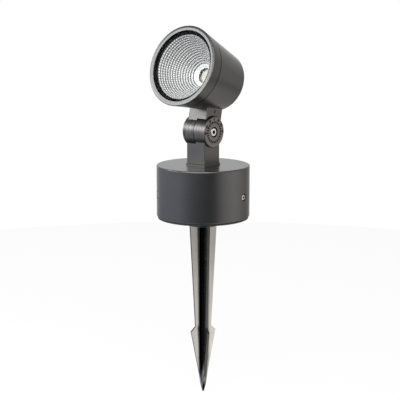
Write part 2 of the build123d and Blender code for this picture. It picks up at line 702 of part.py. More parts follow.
def make_stop_washer():
    low = SPRING_WASHER_Z
    washer = rod(SPIGOT_R + STOP_WASHER_W, low, STOP_WASHER_Z)
    half_w = STOP_TAB_W / 2
    washer += block((-half_w, half_w), (FACE_FIT - STOP_TAB_R, 0), (low, STOP_WASHER_Z))
    hole = rod(SPIGOT_R + THREAD_FIT, low - PAST, STOP_WASHER_Z + PAST)
    return washer - (hole - spigot_flat(THREAD_FIT, low - PAST, STOP_WASHER_Z + PAST))


def make_spring_washer():
    outer = SPIGOT_R + SPRING_WASHER_W
    return ring(outer, SPIGOT_R + SLIP_FIT, PAN_NUT_Z, SPRING_WASHER_Z)


def make_pan_nut():
    low = PAN_NUT_Z - PAN_NUT_T
    outer = SPIGOT_R + PAN_NUT_W
    nut = ring(outer, SPIGOT_R + THREAD_FIT, low, PAN_NUT_Z)
    slot = block(
        (-PAN_SLOT_W / 2, PAN_SLOT_W / 2),
        (outer - PAN_SLOT_DEPTH, outer + PAST),
        (low - PAST, PAN_NUT_Z + PAST),
    )
    for number in range(PAN_NUT_SLOTS):
        nut -= Rot(Z=(number + 0.5) * 360 / PAN_NUT_SLOTS) * slot
    return nut


# ---- tilt joint ----
def make_friction_ring():
    bore = CHAMBER_R + RING_LIP
    return along_x(ring(DRUM_R - RING_INSET, bore, -SEAM / 2 + FACE_FIT, SEAM / 2))


def make_pivot_bush():
    return along_x(ring(BUSH_R, BUSH_R - BUSH_WALL, -BUSH_HALF, BUSH_HALF))


def make_clamp_screw():
    length = CLAMP_SEAT - CLAMP_NUT_SEAT + CLAMP_NUT_T + CLAMP_SPARE
    screw = cap_screw(CLAMP_R, length, CLAMP_HEAD_R, CLAMP_HEAD_H, CLAMP_SOCKET_AF)
    return along_x(Pos(0, 0, CLAMP_SEAT) * screw)


def make_clamp_nut():
    low = CLAMP_NUT_SEAT - CLAMP_NUT_T
    nut = hex_rod(CLAMP_NUT_AF, low, CLAMP_NUT_SEAT)
    nut -= rod(CLAMP_R + RUN_FIT, low - PAST, CLAMP_NUT_SEAT + PAST)
    return ARM * Rot(Y=90) * nut


# ---- upper arm, in the arm's frame ----
def arm_bolt_places():
    return [(x, y) for x in (-ARM_BOLT_X, ARM_BOLT_X) for y in (-ARM_BOLT_Y, ARM_BOLT_Y)]


def head_outside():
    """The head's outer form in its own frame, without the groove."""
    back_r = cone_r(HEAD_LENGTH)
    body = turned([(0, 0), (HEAD_R, 0), (back_r, -HEAD_LENGTH), (0, -HEAD_LENGTH)])
    return fillet(body.edges().group_by(Axis.Z)[0], HEAD_BACK_EDGE)


def make_upper_arm():
    sideways = Rot(Y=90)
    arm_end = ARM_TOP + ARM_BOLT_HEAD_H
    arm = block((-POST_HALF, POST_HALF), (-POST_HALF, POST_HALF), (0, arm_end))
    arm = fillet(arm.edges().filter_by(Axis.Z), POST_CORNER)
    arm -= sideways * rod(SADDLE_R, -SEAM / 2, POST_SIDE)
    half_drum = rod(DRUM_R, -DRUM_HALF, -SEAM / 2)
    arm += sideways * chamfer(half_drum.edges().group_by(Axis.Z)[0], DRUM_EDGE)
    arm -= sideways * ring(CHAMBER_R, CHAMBER_HUB_R, -SEAM / 2 - CHAMBER_DEPTH, 0)
    arm -= sideways * rod(BUSH_R, -BUSH_HALF - FACE_FIT, 0)
    arm -= sideways * rod(CLAMP_R + SLIP_FIT, -DRUM_HALF, 0)
    arm -= sideways * hex_rod(CLAMP_NUT_AF + THREAD_FIT, -DRUM_HALF - PAST, CLAMP_NUT_SEAT)
    arm -= rod(WIRE_BORE_R, CHAMBER_MID_R, arm_end + PAST, (-WIRE_BORE_X, 0))
    hole_low = ARM_TOP - ARM_BOLT_L - ARM_BOLT_SPARE
    for place in arm_bolt_places():
        arm -= rod(ARM_BOLT_R + THREAD_FIT, hole_low, arm_end + PAST, place)
    arm -= block(
        (POST_HALF - MARK_DEPTH, POST_HALF + PAST),
        (-INDEX_MARK_W / 2, INDEX_MARK_W / 2),
        (INDEX_MARK_RISE - INDEX_MARK_L / 2, INDEX_MARK_RISE + INDEX_MARK_L / 2),
    )
    return ARM * arm - HEAD * head_outside()


def make_arm_bolts():
    bolt = cap_screw(
        ARM_BOLT_R, ARM_BOLT_L, ARM_BOLT_HEAD_R, ARM_BOLT_HEAD_H, ARM_BOLT_SOCKET_AF
    )
    return [ARM * Pos(x, y, ARM_TOP) * bolt for x, y in arm_bolt_places()]


# ---- head housing and bezel, in the head's frame ----
def spreader_screw_places():
    angles = [radians(90 + number * 360 / SPREADER_POSTS) for number in range(SPREADER_POSTS)]
    return [(SPREADER_SCREW_AT * cos(angle), SPREADER_SCREW_AT * sin(angle)) for angle in angles]


def make_head_housing():
    bore_end = (HEAD_R - HEAD_WALL - HEAD_BORE_R) / HEAD_SLOPE
    body = head_outside() - rod(HEAD_R + PAST, -SHOULDER, PAST)
    body += rod(NECK_R, -SHOULDER - PAST, -NECK_FRONT)
    body -= turned([
        (0, PAST),
        (HEAD_BORE_R, PAST),
        (HEAD_BORE_R, -bore_end),
        (cone_r(CAVITY_END) - HEAD_WALL, -CAVITY_END),
        (0, -CAVITY_END),
    ])
    for place in spreader_screw_places():
        body += rod(SPREADER_POST_R, -CAVITY_END - PAST, -SPREADER_BACK, place)
    for place in spreader_screw_places():
        body -= rod(SPREADER_SCREW_R + THREAD_FIT, -CAVITY_END, PAST - SPREADER_BACK, place)
    seat = block(
        (-ARM_SEAT_X / 2, ARM_SEAT_X / 2),
        (-ARM_SEAT_Y / 2, ARM_SEAT_Y / 2),
        (POST_HALF, ARM_TOP),
    )
    body = HEAD * body + (ARM * seat & HEAD * head_outside())
    cut_end = ARM_TOP + ARM_BOLT_HEAD_H + PAST
    body -= ARM * rod(WIRE_BORE_R, POST_HALF, cut_end, (-WIRE_BORE_X, 0))
    for place in arm_bolt_places():
        body -= ARM * rod(ARM_BOLT_R + SLIP_FIT, POST_HALF, ARM_TOP + PAST, place)
        body -= ARM * rod(ARM_BOLT_HEAD_R + SLIP_FIT, ARM_TOP, cut_end, place)
    return body


def make_front_bezel():
    bore = GLASS_R + GLASS_FIT
    thread_bore = NECK_R + THREAD_FIT
    body = turned([
        (bore, -BEZEL_BEVEL_DROP),
        (HEAD_R - BEZEL_FACE_W, 0),
        (HEAD_R, 0),
        (cone_r(BEZEL_LENGTH), -BEZEL_LENGTH),
        (thread_bore, -BEZEL_LENGTH),
        (thread_bore, -SHELF_UNDER),
        (SHELF_IN, -SHELF_UNDER),
        (SHELF_IN, -SHELF_TOP),
        (bore, -SHELF_TOP),
    ])
    outer = body.edges().group_by(Axis.Z)[-1].sort_by(SortBy.LENGTH)[-1]
    return HEAD * fillet(outer, BEZEL_EDGE)


def make_bezel_seal():
    outer = cone_r(SHOULDER) - GROOVE_DEPTH
    return HEAD * ring(outer, NECK_R, -SHOULDER, -BEZEL_LENGTH)


def make_glass_lens():
    glass = rod(GLASS_R, -GLASS_RECESS - GLASS_T, -GLASS_RECESS)
    return HEAD * chamfer(glass.edges().group_by(Axis.Z)[-1], GLASS_EDGE)


def make_lens_gasket():
    bore = GLASS_R - LENS_GASKET_W
    return HEAD * ring(GLASS_R, bore, -SHELF_TOP, -GLASS_RECESS - GLASS_T)


# ---- reflector, emitter and heat spreader, in the head's frame ----
def make_reflector():
    step = REFLECTOR_DEPTH / REFLECTOR_STEPS
    depths = [REFLECTOR_FRONT + number * step for number in range(REFLECTOR_STEPS + 1)]
    inner = Spline([(bowl_r(depth), 0, -depth) for depth in depths])
    outer = Spline([(bowl_r(depth) + REFLECTOR_WALL, 0, -depth) for depth in depths])
    front = Line(inner @ 0, outer @ 0)
    back = Line(inner @ 1, outer @ 1)
    shell = revolve(make_face([inner, back, outer, front]), Axis.Z)
    flange_in = bowl_r(SHELF_UNDER) + REFLECTOR_WALL / 2
    flange = ring(NECK_R - REFLECTOR_WALL, flange_in, -NECK_FRONT, -SHELF_UNDER)
    return HEAD * (shell + flange)


def holder_screw_places():
    return [(-HOLDER_SCREW_AT, 0), (HOLDER_SCREW_AT, 0)]


def emitter_lead_xs():
    return [-WIRE_BORE_X - LEAD_PAIR, -WIRE_BORE_X + LEAD_PAIR]


def holder_side(x):
    """Height of the holder's lower side at x."""
    return -sqrt(HOLDER_R ** 2 - x ** 2)


def make_cob_holder():
    holder = ring(HOLDER_R, HOLDER_HOLE_R, -HOLDER_BACK, -APERTURE_DEPTH)
    floor = HOLDER_SEAT - HOLDER_BACK
    for place in holder_screw_places():
        holder -= rod(HOLDER_SCREW_R + SLIP_FIT, -HOLDER_BACK - PAST, floor, place)
        holder -= rod(HOLDER_SCREW_HEAD_R + SLIP_FIT, floor, PAST - APERTURE_DEPTH, place)
    for x in emitter_lead_xs():
        way = Rot(X=90) * rod(LEAD_R + SLIP_FIT, -holder_side(x) - LEAD_IN, HOLDER_R + PAST)
        holder -= Pos(x, 0, HOLDER_H / 2 - HOLDER_BACK) * way
    return HEAD * holder


def make_holder_screws():
    seat = HOLDER_SEAT - HOLDER_BACK
    made = []
    for place in holder_screw_places():
        screw = rod(HOLDER_SCREW_HEAD_R, seat, seat + HOLDER_SCREW_HEAD_H, place)
        screw += rod(HOLDER_SCREW_R, SCREW_END_GAP - SPREADER_BACK, seat, place)
        made.append(HEAD * screw)
    return made


def make_cob_board():
    half = COB_SIDE / 2
    return HEAD * block((-half, half), (-half, half), (-COB_BACK, -HOLDER_BACK))


def make_cob_emitter():
    radius = HOLDER_HOLE_R - EMITTER_INSET
    return HEAD * rod(radius, -HOLDER_BACK, EMITTER_T - HOLDER_BACK)


def make_heat_spreader():
    low = -SPREADER_BACK - PAST
    high = PAST - COB_BACK
    plate = rod(SPREADER_R, -SPREADER_BACK, -COB_BACK)
    side = (-SPREADER_R, SPREADER_R)
    plate -= block(side, (-HEAD_R, -SPREADER_FLAT), (low, high))
    for place in spreader_screw_places():
        plate -= rod(SPREADER_SCREW_R + SLIP_FIT, low, high, place)
    for place in holder_screw_places():
        plate -= rod(HOLDER_SCREW_R + THREAD_FIT, low, high, place)
    lead_way = (-WIRE_BORE_X, -HOLDER_R - LEAD_FROM_HOLDER)
    return HEAD * (plate - rod(LEAD_PAIR + LEAD_R + SLIP_FIT, low, high, lead_way))


def make_spreader_screws():
    head_top = SPREADER_SCREW_HEAD_H - COB_BACK
    made = []
    for place in spreader_screw_places():
        screw = rod(SPREADER_SCREW_HEAD_R, -COB_BACK, head_top, place)
        screw += rod(SPREADER_SCREW_R, SPREADER_SCREW_END - CAVITY_END, -COB_BACK, place)
        made.append(HEAD * screw)
    return made


def make_emitter_leads():
    turn_y = -HOLDER_R - LEAD_FROM_HOLDER
    turn_at = (HEAD_RISE + turn_y) / LEAN_COS
    end_z = HOLDER_H / 2 - HOLDER_BACK
    made = []
    for x in emitter_lead_xs():
        points = [
            place_in(ARM, (x, 0, CHAMBER_R)),
            place_in(ARM, (x, 0, turn_at)),
            place_in(HEAD, (x, turn_y, end_z)),
            place_in(HEAD, (x, holder_side(x) + LEAD_IN, end_z)),
        ]
        made.append(tube(points, LEAD_BEND, LEAD_R))
    return made


MAKERS = {
    "base_housing": make_base_housing,
    "bottom_plate": make_bottom_plate,
    "bottom_gasket": make_bottom_gasket,
    "plate_uprights": make_plate_uprights,
    "base_side_screws": make_base_side_screws,
    "ground_spike": make_ground_spike,
    "spike_stud": make_spike_stud,
    "spike_washer": make_spike_washer,
    "spike_nut": make_spike_nut,
    "driver_case": make_driver_case,
    "driver_board": make_driver_board,
    "driver_board_screws": make_driver_board_screws,
    "driver_lid": make_driver_lid,
    "terminal_block": make_terminal_block,
    "terminal_screws": make_terminal_screws,
    "driver_leads": make_driver_leads,
    "gland_body": make_gland_body,
    "gland_seal": make_gland_seal,
    "gland_cap": make_gland_cap,
    "gland_locknut": make_gland_locknut,
    "lower_post": make_lower_post,
    "foot_ring": make_foot_ring,
    "stop_washer": make_stop_washer,
    "spring_washer": make_spring_washer,
    "pan_nut": make_pan_nut,
    "friction_ring": make_friction_ring,
    "clamp_screw": make_clamp_screw,
    "clamp_nut": make_clamp_nut,
    "pivot_bush": make_pivot_bush,
    "upper_arm": make_upper_arm,
    "arm_bolts": make_arm_bolts,
    "head_housing": make_head_housing,
    "front_bezel": make_front_bezel,
    "bezel_seal": make_bezel_seal,
    "glass_lens": make_glass_lens,
    "lens_gasket": make_lens_gasket,
    "reflector": make_reflector,
    "cob_holder": make_cob_holder,
    "holder_screws": make_holder_screws,
    "cob_board": make_cob_board,
    "cob_emitter": make_cob_emitter,
    "heat_spreader": make_heat_spreader,
    "spreader_screws": make_spreader_screws,
    "emitter_leads": make_emitter_leads,
}

os.makedirs("parts", exist_ok=True)
for name, maker in MAKERS.items():
    made = maker()
    shape = Compound(children=made) if isinstance(made, list) else made
    shape.label = name
    export_step(shape, f"parts/{name}.step")
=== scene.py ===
"""Garden spike spotlight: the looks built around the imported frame, in metres."""

import json
import math
from bisect import bisect_left

import bmesh
import bpy
from mathutils import Matrix, Vector


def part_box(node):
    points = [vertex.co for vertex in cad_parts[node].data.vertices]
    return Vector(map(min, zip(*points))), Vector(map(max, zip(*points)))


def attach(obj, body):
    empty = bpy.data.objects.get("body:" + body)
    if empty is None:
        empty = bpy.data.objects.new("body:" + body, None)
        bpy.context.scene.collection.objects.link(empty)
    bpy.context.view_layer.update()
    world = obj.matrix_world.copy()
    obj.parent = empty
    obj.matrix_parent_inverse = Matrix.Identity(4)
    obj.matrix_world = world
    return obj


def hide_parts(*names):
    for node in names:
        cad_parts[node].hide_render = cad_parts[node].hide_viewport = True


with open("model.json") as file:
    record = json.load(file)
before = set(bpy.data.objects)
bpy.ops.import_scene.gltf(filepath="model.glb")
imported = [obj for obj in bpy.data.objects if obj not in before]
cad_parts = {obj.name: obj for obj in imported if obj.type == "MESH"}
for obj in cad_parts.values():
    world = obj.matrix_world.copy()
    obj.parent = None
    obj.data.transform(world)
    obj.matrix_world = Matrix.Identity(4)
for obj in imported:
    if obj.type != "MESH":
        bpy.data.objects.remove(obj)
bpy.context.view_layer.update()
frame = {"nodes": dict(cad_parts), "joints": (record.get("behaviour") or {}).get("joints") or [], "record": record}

MM = 0.001
WHITE = (1, 1, 1, 1)

# ---- places that the frame gives ----
JOINTS = {joint["name"]: joint for joint in frame["joints"]}
TILT_Z = JOINTS["tilt"]["pos_m"][2]
POST_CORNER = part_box("lower_post")[1]
DIAL_X = POST_CORNER.x        # the dial's face ends the post's half drum
DRUM_R = POST_CORNER.y        # the half drum is the post's widest part
ARM_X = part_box("upper_arm")[1].x
SPIKE_TIP_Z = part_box("ground_spike")[0].z

# ---- head, from the tilt axis to the middle of the front's plane ----
HEAD_TILT = 18.5              # degrees that the head looks up
HEAD_RISE = 68.0 * MM
HEAD_REACH = 67.4 * MM

# ---- reflector, by its distance from the head's axis and its depth behind the front ----
APERTURE_R = 10.0 * MM
APERTURE_DEPTH = 48.2 * MM
RIM_R = 41.2 * MM
RIM_DEPTH = 4.65 * MM
RIM_LIP = 0.25 * MM
REFLECTOR_WALL = 1.0 * MM
FLANGE_R = 43.4 * MM
FLANGE_FRONT = 7.2 * MM
FLANGE_BACK = 8.4 * MM
FLARE_R = 15.5 * MM           # the smooth band round the aperture ends here
FLARE_STEPS = 6
WALL_STEPS = 10
FACET_RINGS = 14
FACET_COLUMNS = 72
FACET_STEPS = 5               # points along each side of a facet
PROFILE_SAMPLES = 400         # parts in which the bowl's profile is measured
ROUNDING = 1e-12              # allowed for when lengths are compared
RING_SCALLOP = 0.24 * MM      # how far a facet stands out, from ring to ring
COLUMN_SCALLOP = 0.1 * MM     # the same from column to column
BOWL_SLOPE = math.atan2(RIM_R - APERTURE_R, APERTURE_DEPTH - RIM_DEPTH)

# ---- painted shade in the lines between the facets, from 0, bright, to 1 ----
GROOVE_SHADE = "groove_shade"             # the mesh attribute that keeps the painted shade
RING_GROOVE = 1.0
RING_FLANK = 0.72             # the facet's next point beside the line
COLUMN_GROOVE = 0.9
COLUMN_FLANK = 0.28
FLARE_SHADE = 0.2             # painted shade on the smooth band
RIM_SHADE = 1.0               # painted shade on the rim's lip and the flange's front

# ---- marks on the dial and the arm ----
DIAL_MARKS = 24
MARK_LOW = 11.3 * MM
MARK_HIGH = 14.3 * MM
PAINT_W = 2.0 * MM
PRINT_T = 0.06 * MM
ARM_TILT = 11.5               # degrees that the arm leans back
INDEX_L = 4.4 * MM
INDEX_RISE = 26.0 * MM
DIAL_ANGLES = (-90, -60, -30, 0, 30, 60, 90)
NUMBER_R = 16.6 * MM
NUMBER_SIZE = 4.1 * MM
NUMBER_WEIGHT = 0.2 * MM      # how much bolder the strokes are on each side

# ---- coat ----
COAT_METALLIC = 0.92
BEZEL_LEAN = -0.108           # slope of the bezel's front away from the glass
TURNED_IN = 0.3 * MM          # turned lines show from this far inside the drum's radius
TURNED_OUT = 0.2 * MM         # to this far outside
TURNED_STRETCH = 1.1 * MM     # the pattern's length for a radian, short so that its lines run round
STREAK_DARK = 0.3             # times the coat's colour, in the turned lines
STREAK_LIGHT = 1.75
DIAL_SKIN = 0.05 * MM         # what lies this close to the dial's face is lighter
DIAL_LIGHT = (1.45, 1.45, 1.43)

# ---- painted shade in the screws' sockets and slots, darkened in the colour by an ambient-occlusion node ----
HOLLOW_REACH = 4.0 * MM       # how far away a wall still shades
HOLLOW_OPEN = (0.45, 0.85)    # how open a place is, from all dark to none
HOLLOW_SHADE_GREY = 0.012

# ---- spike: how far from the axis the painted shade and dark reflection in the fins' roots reach ----
ROOT_R_TOP = 8.0 * MM         # at the ground
ROOT_R_LOW = 6.1 * MM         # halfway from the barb to the point, at ROOT_LOW_Z
ROOT_R_TIP = 2.2 * MM         # at the point
ROOT_LOW_Z = -190.0 * MM
ROOT_WAVER = 0.6 * MM         # how far the roots' limit goes in and out
ROOT_FADE = (-0.3 * MM, 3.0 * MM)
EDGE_FADE = (0.0, 1.5 * MM)   # the painted dark reflection on the fins' edges begins outside the roots
EDGE_OUTWARD = (0.45, 0.75)   # how far outward a face looks on them, from none to all dark
LINE_STRETCH = (1.0, 1.0, 0.05)

# ---- camera ----
CAMERA_AZIMUTH = 40.1
CAMERA_ELEVATION = 10.84
CAMERA_TARGET = (-0.0031, -0.0026, 0.0223)
CAMERA_DISTANCE = 1.5
CAMERA_LENS = 104.4
CAMERA_SENSOR = 36.0
CAMERA_SIGHT = 20.0

# ---- studio: angle to the right of the camera, level and colour, for low and for high directions ----
COOL = (0.92, 0.965, 1.1)
WARM = (1.06, 1.0, 0.94)
EVEN = (1.0, 1.0, 1.0)
STUDIO_LOW = [
    (-180, 0.8, EVEN),
    (-150, 0.7, EVEN),
    (-132, 0.65, COOL),
    (-105, 0.9, COOL),
    (-62, 0.84, COOL),
    (-33, 0.32, COOL),
    (-12, 0.065, COOL),
    (26, 0.075, EVEN),
    (47, 0.85, WARM),
    (80, 1.35, WARM),
    (98, 1.1, WARM),
    (125, 0.5, WARM),
    (150, 0.5, WARM),
    (180, 0.7, EVEN),
]
STUDIO_HIGH = [
    (-180, 1.0, EVEN),
    (-110, 0.5, EVEN),
    (-75, 0.6, EVEN),
    (-50, 1.3, EVEN),
    (-10, 1.7, EVEN),
    (4, 0.1, EVEN),
    (34, 0.05, EVEN),
    (50, 0.8, EVEN),
    (100, 0.6, WARM),
    (180, 0.7, EVEN),
]
STUDIO_CHANGE = (-0.06, 0.1)  # rise of a direction over which low gives way to high
STUDIO_HEIGHTS = [(-90, 0.1), (-50, 0.12), (-22, 0.7), (-12, 0.95), (25, 1.0), (48, 0.4), (90, 0.3)]
STUDIO_TOP_LEVEL = 2.0        # what a full ramp stands for
BACKDROP_EDGE = (0.88, 0.97)  # cosines of the angle from straight behind, where reflections turn white
LAMPS = {
    "key_left": dict(angle=-82, elevation=26, distance=1.0, width=0.7, height=0.34, power=5.6),
    "front_top": dict(angle=-4, elevation=42, distance=1.1, width=1.3, height=1.0, power=14.0),
}

# ---- floor ----
FLOOR_R = 1.1
FLOOR_SIDES = 96
FLOOR_GAP = 0.5 * MM
FLOOR_BOUNCE = 0.4            # how much light the floor gives back to the object
FLOOR_SEEN = 0.9              # how light it is for the camera
FLOOR_GLOW = 0.92             # share of plain white in what is seen of it, the rest shows the shadow
FLOOR_NEAR_LEVEL = 3.1        # level of its reflection near the object
FLOOR_FAR_LEVEL = 0.9         # and at its rim
FLOOR_FADE = (0.2, 1.05)      # distances between which the level changes


# ---- node helpers ----
MIX_A = 6                     # a Mix node has several sockets of each name, and these are the colours'
MIX_B = 7
MIX_RESULT = 2


class Graph:
    """A material's or world's node tree with short calls. A value or an output can feed each socket."""

    def __init__(self, owner):
        owner.use_nodes = True
        self.tree = owner.node_tree
        self.tree.nodes.clear()

    def add(self, kind, **settings):
        node = self.tree.nodes.new(kind)
        for name, value in settings.items():
            setattr(node, name, value)
        return node

    def feed(self, socket, value):
        if isinstance(value, bpy.types.NodeSocket):
            self.tree.links.new(value, socket)
        else:
            socket.default_value = value

    def math(self, operation, a, b=0.0, clamp=False):
        node = self.add("ShaderNodeMath", operation=operation, use_clamp=clamp)
        self.feed(node.inputs[0], a)
        self.feed(node.inputs[1], b)
        return node.outputs[0]

    def vector(self, operation, a, b=None, result="Vector"):
        node = self.add("ShaderNodeVectorMath", operation=operation)
        self.feed(node.inputs[0], a)
        if b is not None:
            self.feed(node.inputs[1], b)
        return node.outputs[result]

    def dot(self, a, b):
        return self.vector("DOT_PRODUCT", a, b, "Value")

    def length(self, vector):
        return self.vector("LENGTH", vector, result="Value")

    def split(self, vector):
        """The three parts of a vector, by the names X, Y and Z."""
        node = self.add("ShaderNodeSeparateXYZ")
        self.feed(node.inputs["Vector"], vector)
        return node.outputs

    def blend(self, share, a, b):
        """Colour a where the share is 0 and b where it is 1."""
        node = self.add("ShaderNodeMix", data_type="RGBA")
        self.feed(node.inputs["Factor"], share)
        self.feed(node.inputs[MIX_A], a)
        self.feed(node.inputs[MIX_B], b)
        return node.outputs[MIX_RESULT]

    def mix(self, share, a, b):
        """The same with two shaders."""
        node = self.add("ShaderNodeMixShader")
        self.feed(node.inputs["Fac"], share)
        self.feed(node.inputs[1], a)
        self.feed(node.inputs[2], b)
        return node.outputs["Shader"]

    def noise(self, vector, scale, detail=2.0, roughness=0.5):
        node = self.add("ShaderNodeTexNoise")
        self.feed(node.inputs["Vector"], vector)
        node.inputs["Scale"].default_value = scale
        node.inputs["Detail"].default_value = detail
        node.inputs["Roughness"].default_value = roughness
        return node.outputs["Fac"]

    def spread(self, value, low, high, start=0.0, end=1.0):
        """From low to high as the value goes from start to end."""
        node = self.add("ShaderNodeMapRange")
        self.feed(node.inputs["Value"], value)
        node.inputs["From Min"].default_value = start
        node.inputs["From Max"].default_value = end
        node.inputs["To Min"].default_value = low
        node.inputs["To Max"].default_value = high
        return node.outputs["Result"]

    def share(self, value, start, end):
        """How far the value has come from start, 0, to end, 1."""
        return self.spread(value, 0.0, 1.0, start, end)

    def vary(self, value, middle, part):
        """A number that varies by that part of itself to both sides."""
        return self.spread(value, middle * (1 - part), middle * (1 + part))

    def ramp(self, value, stops):
        node = self.add("ShaderNodeValToRGB")
        self.feed(node.inputs["Fac"], value)
        while len(node.color_ramp.elements) < len(stops):
            node.color_ramp.elements.new(0.5)
        for element, (place, colour) in zip(node.color_ramp.elements, stops):
            element.position = place
            element.color = (*colour, 1.0)
        return node.outputs["Color"]

    def mottle(self, value, colour, dark, light):
        """The colour, from dark times to light times its level."""
        return self.ramp(value, [(0.0, tint(colour, dark)), (1.0, tint(colour, light))])

    def bump(self, height, distance, strength=1.0, normal=None):
        node = self.add("ShaderNodeBump")
        self.feed(node.inputs["Height"], height)
        node.inputs["Distance"].default_value = distance
        node.inputs["Strength"].default_value = strength
        if normal is not None:
            self.feed(node.inputs["Normal"], normal)
        return node.outputs["Normal"]

    def shift(self, vector, scale):
        node = self.add("ShaderNodeMapping")
        self.feed(node.inputs["Vector"], vector)
        node.inputs["Scale"].default_value = scale
        return node.outputs["Vector"]

    def place(self):
        """Where a point lies from its object's origin, which for all but the floor is the frame's."""
        return self.add("ShaderNodeTexCoord").outputs["Object"]

    def seen(self, path):
        """1 for what the camera sees, straight or through glass, and 0 for the rest."""
        return self.math("ADD", path["Is Camera Ray"], path["Is Transmission Ray"])

    def finish(self, shader, kind="ShaderNodeOutputMaterial"):
        self.feed(self.add(kind).inputs["Surface"], shader)

    def surface(self, **sockets):
        """Ends a material in the standard shader. A socket's name has _ in place of each space."""
        node = self.add("ShaderNodeBsdfPrincipled")
        for name, value in sockets.items():
            self.feed(node.inputs[name.replace("_", " ")], value)
        self.finish(node.outputs["BSDF"])


def tint(colour, factor):
    """The colour times the factor, and at most 1 in each of its parts."""
    return tuple(min(1.0, part * factor) for part in colour)


def opaque(*colour):
    """A colour with the fourth number that a colour socket takes. One number alone is a grey."""
    return (*(colour * 3)[:3], 1)


def material_from(name, finish, **settings):
    """A new material, whose nodes the finish makes."""
    material = bpy.data.materials.new(name)
    finish(Graph(material), **settings)
    return material


# ---- finishes ----
def plain(graph, colour, roughness, mottle=0.08, scale=220.0, depth=0.02 * MM, **more):
    """A soft mottle in the colour, a varied roughness and a fine grain."""
    where = graph.place()
    soft = graph.noise(where, scale, detail=3.0)
    grain = graph.noise(where, scale=1800.0)
    graph.surface(
        Base_Color=graph.mottle(soft, colour, 1 - mottle, 1 + mottle),
        Roughness=graph.vary(soft, roughness, 0.1),
        Normal=graph.bump(grain, depth, strength=0.5),
        **more,
    )


def coat(graph, colour, roughness, turned=False, leaning=False):
    """Fine powder coat. With turned, the joint's drum has the lathe's rings and a lighter dial.
    With leaning, the bezel's flat front is shaded as if it leaned away from the glass."""
    where = graph.place()
    soft = graph.noise(where, scale=60.0, detail=3.0)
    fine = graph.noise(where, scale=2600.0, roughness=0.6)
    colours = graph.mottle(soft, colour, 0.95, 1.05)
    normal = graph.bump(fine, 0.03 * MM, strength=0.35)
    if leaning:
        from_middle = graph.length(graph.vector("SUBTRACT", where, head_frame().translation))
        normal = graph.bump(graph.math("MULTIPLY", from_middle, BEZEL_LEAN), 1.0, normal=normal)
    if turned:
        colours, normal = turned_lines(graph, where, colours, normal)
    graph.surface(
        Base_Color=colours,
        Roughness=graph.vary(soft, roughness, 0.06),
        Metallic=COAT_METALLIC,
        Normal=normal,
    )


def turned_lines(graph, where, colours, normal):
    """Adds the lathe's rings on the joint's drum to the colours and normal, and lightens the dial."""
    place = graph.split(where)
    rise = graph.math("SUBTRACT", place["Z"], TILT_Z)
    squares = [graph.math("MULTIPLY", part, part) for part in (rise, place["Y"])]
    from_axis = graph.math("SQRT", graph.math("ADD", *squares))
    inside = graph.math("LESS_THAN", from_axis, DRUM_R + TURNED_OUT)
    on_drum = graph.math("MULTIPLY", graph.math("GREATER_THAN", from_axis, DRUM_R - TURNED_IN), inside)

    unrolled = graph.add("ShaderNodeCombineXYZ")
    turn = graph.math("ARCTAN2", place["Y"], rise)
    graph.feed(unrolled.inputs["X"], place["X"])
    graph.feed(unrolled.inputs["Y"], graph.math("MULTIPLY", turn, TURNED_STRETCH))
    lines = graph.noise(unrolled.outputs["Vector"], scale=1500.0, detail=3.0, roughness=0.8)
    streaks = graph.noise(unrolled.outputs["Vector"], scale=800.0, detail=3.0, roughness=0.7)
    normal = graph.bump(graph.math("MULTIPLY", lines, on_drum), 0.12 * MM, strength=0.6, normal=normal)
    shade = graph.blend(graph.share(streaks, 0.32, 0.68), opaque(STREAK_DARK), opaque(STREAK_LIGHT))
    colours = graph.vector("MULTIPLY", colours, graph.blend(on_drum, WHITE, shade))

    on_dial = graph.math("GREATER_THAN", place["X"], DIAL_X - DIAL_SKIN)
    lighter = graph.blend(on_dial, WHITE, opaque(*DIAL_LIGHT))
    return graph.vector("MULTIPLY", colours, lighter), normal


def brushed(graph, colour, roughness, hollow=False):
    """Bright metal with a fine grain. When asked, sockets and slots get painted shade: their colour turns dark
    grey where walls are near.
    """
    where = graph.place()
    soft = graph.noise(where, scale=300.0, detail=3.0)
    fine = graph.noise(where, scale=4000.0)
    colours = graph.mottle(soft, colour, 0.93, 1.07)
    if hollow:
        # painted shade: an ambient-occlusion node turns the colour dark grey in sockets and slots
        shade = graph.add("ShaderNodeAmbientOcclusion", samples=8, only_local=True)
        shade.inputs["Distance"].default_value = HOLLOW_REACH
        openness = graph.share(shade.outputs["AO"], *HOLLOW_OPEN)
        colours = graph.blend(openness, opaque(HOLLOW_SHADE_GREY), colours)
    graph.surface(
        Base_Color=colours,
        Roughness=graph.vary(fine, roughness, 0.2),
        Metallic=1.0,
        Normal=graph.bump(fine, 0.01 * MM, strength=0.4),
    )


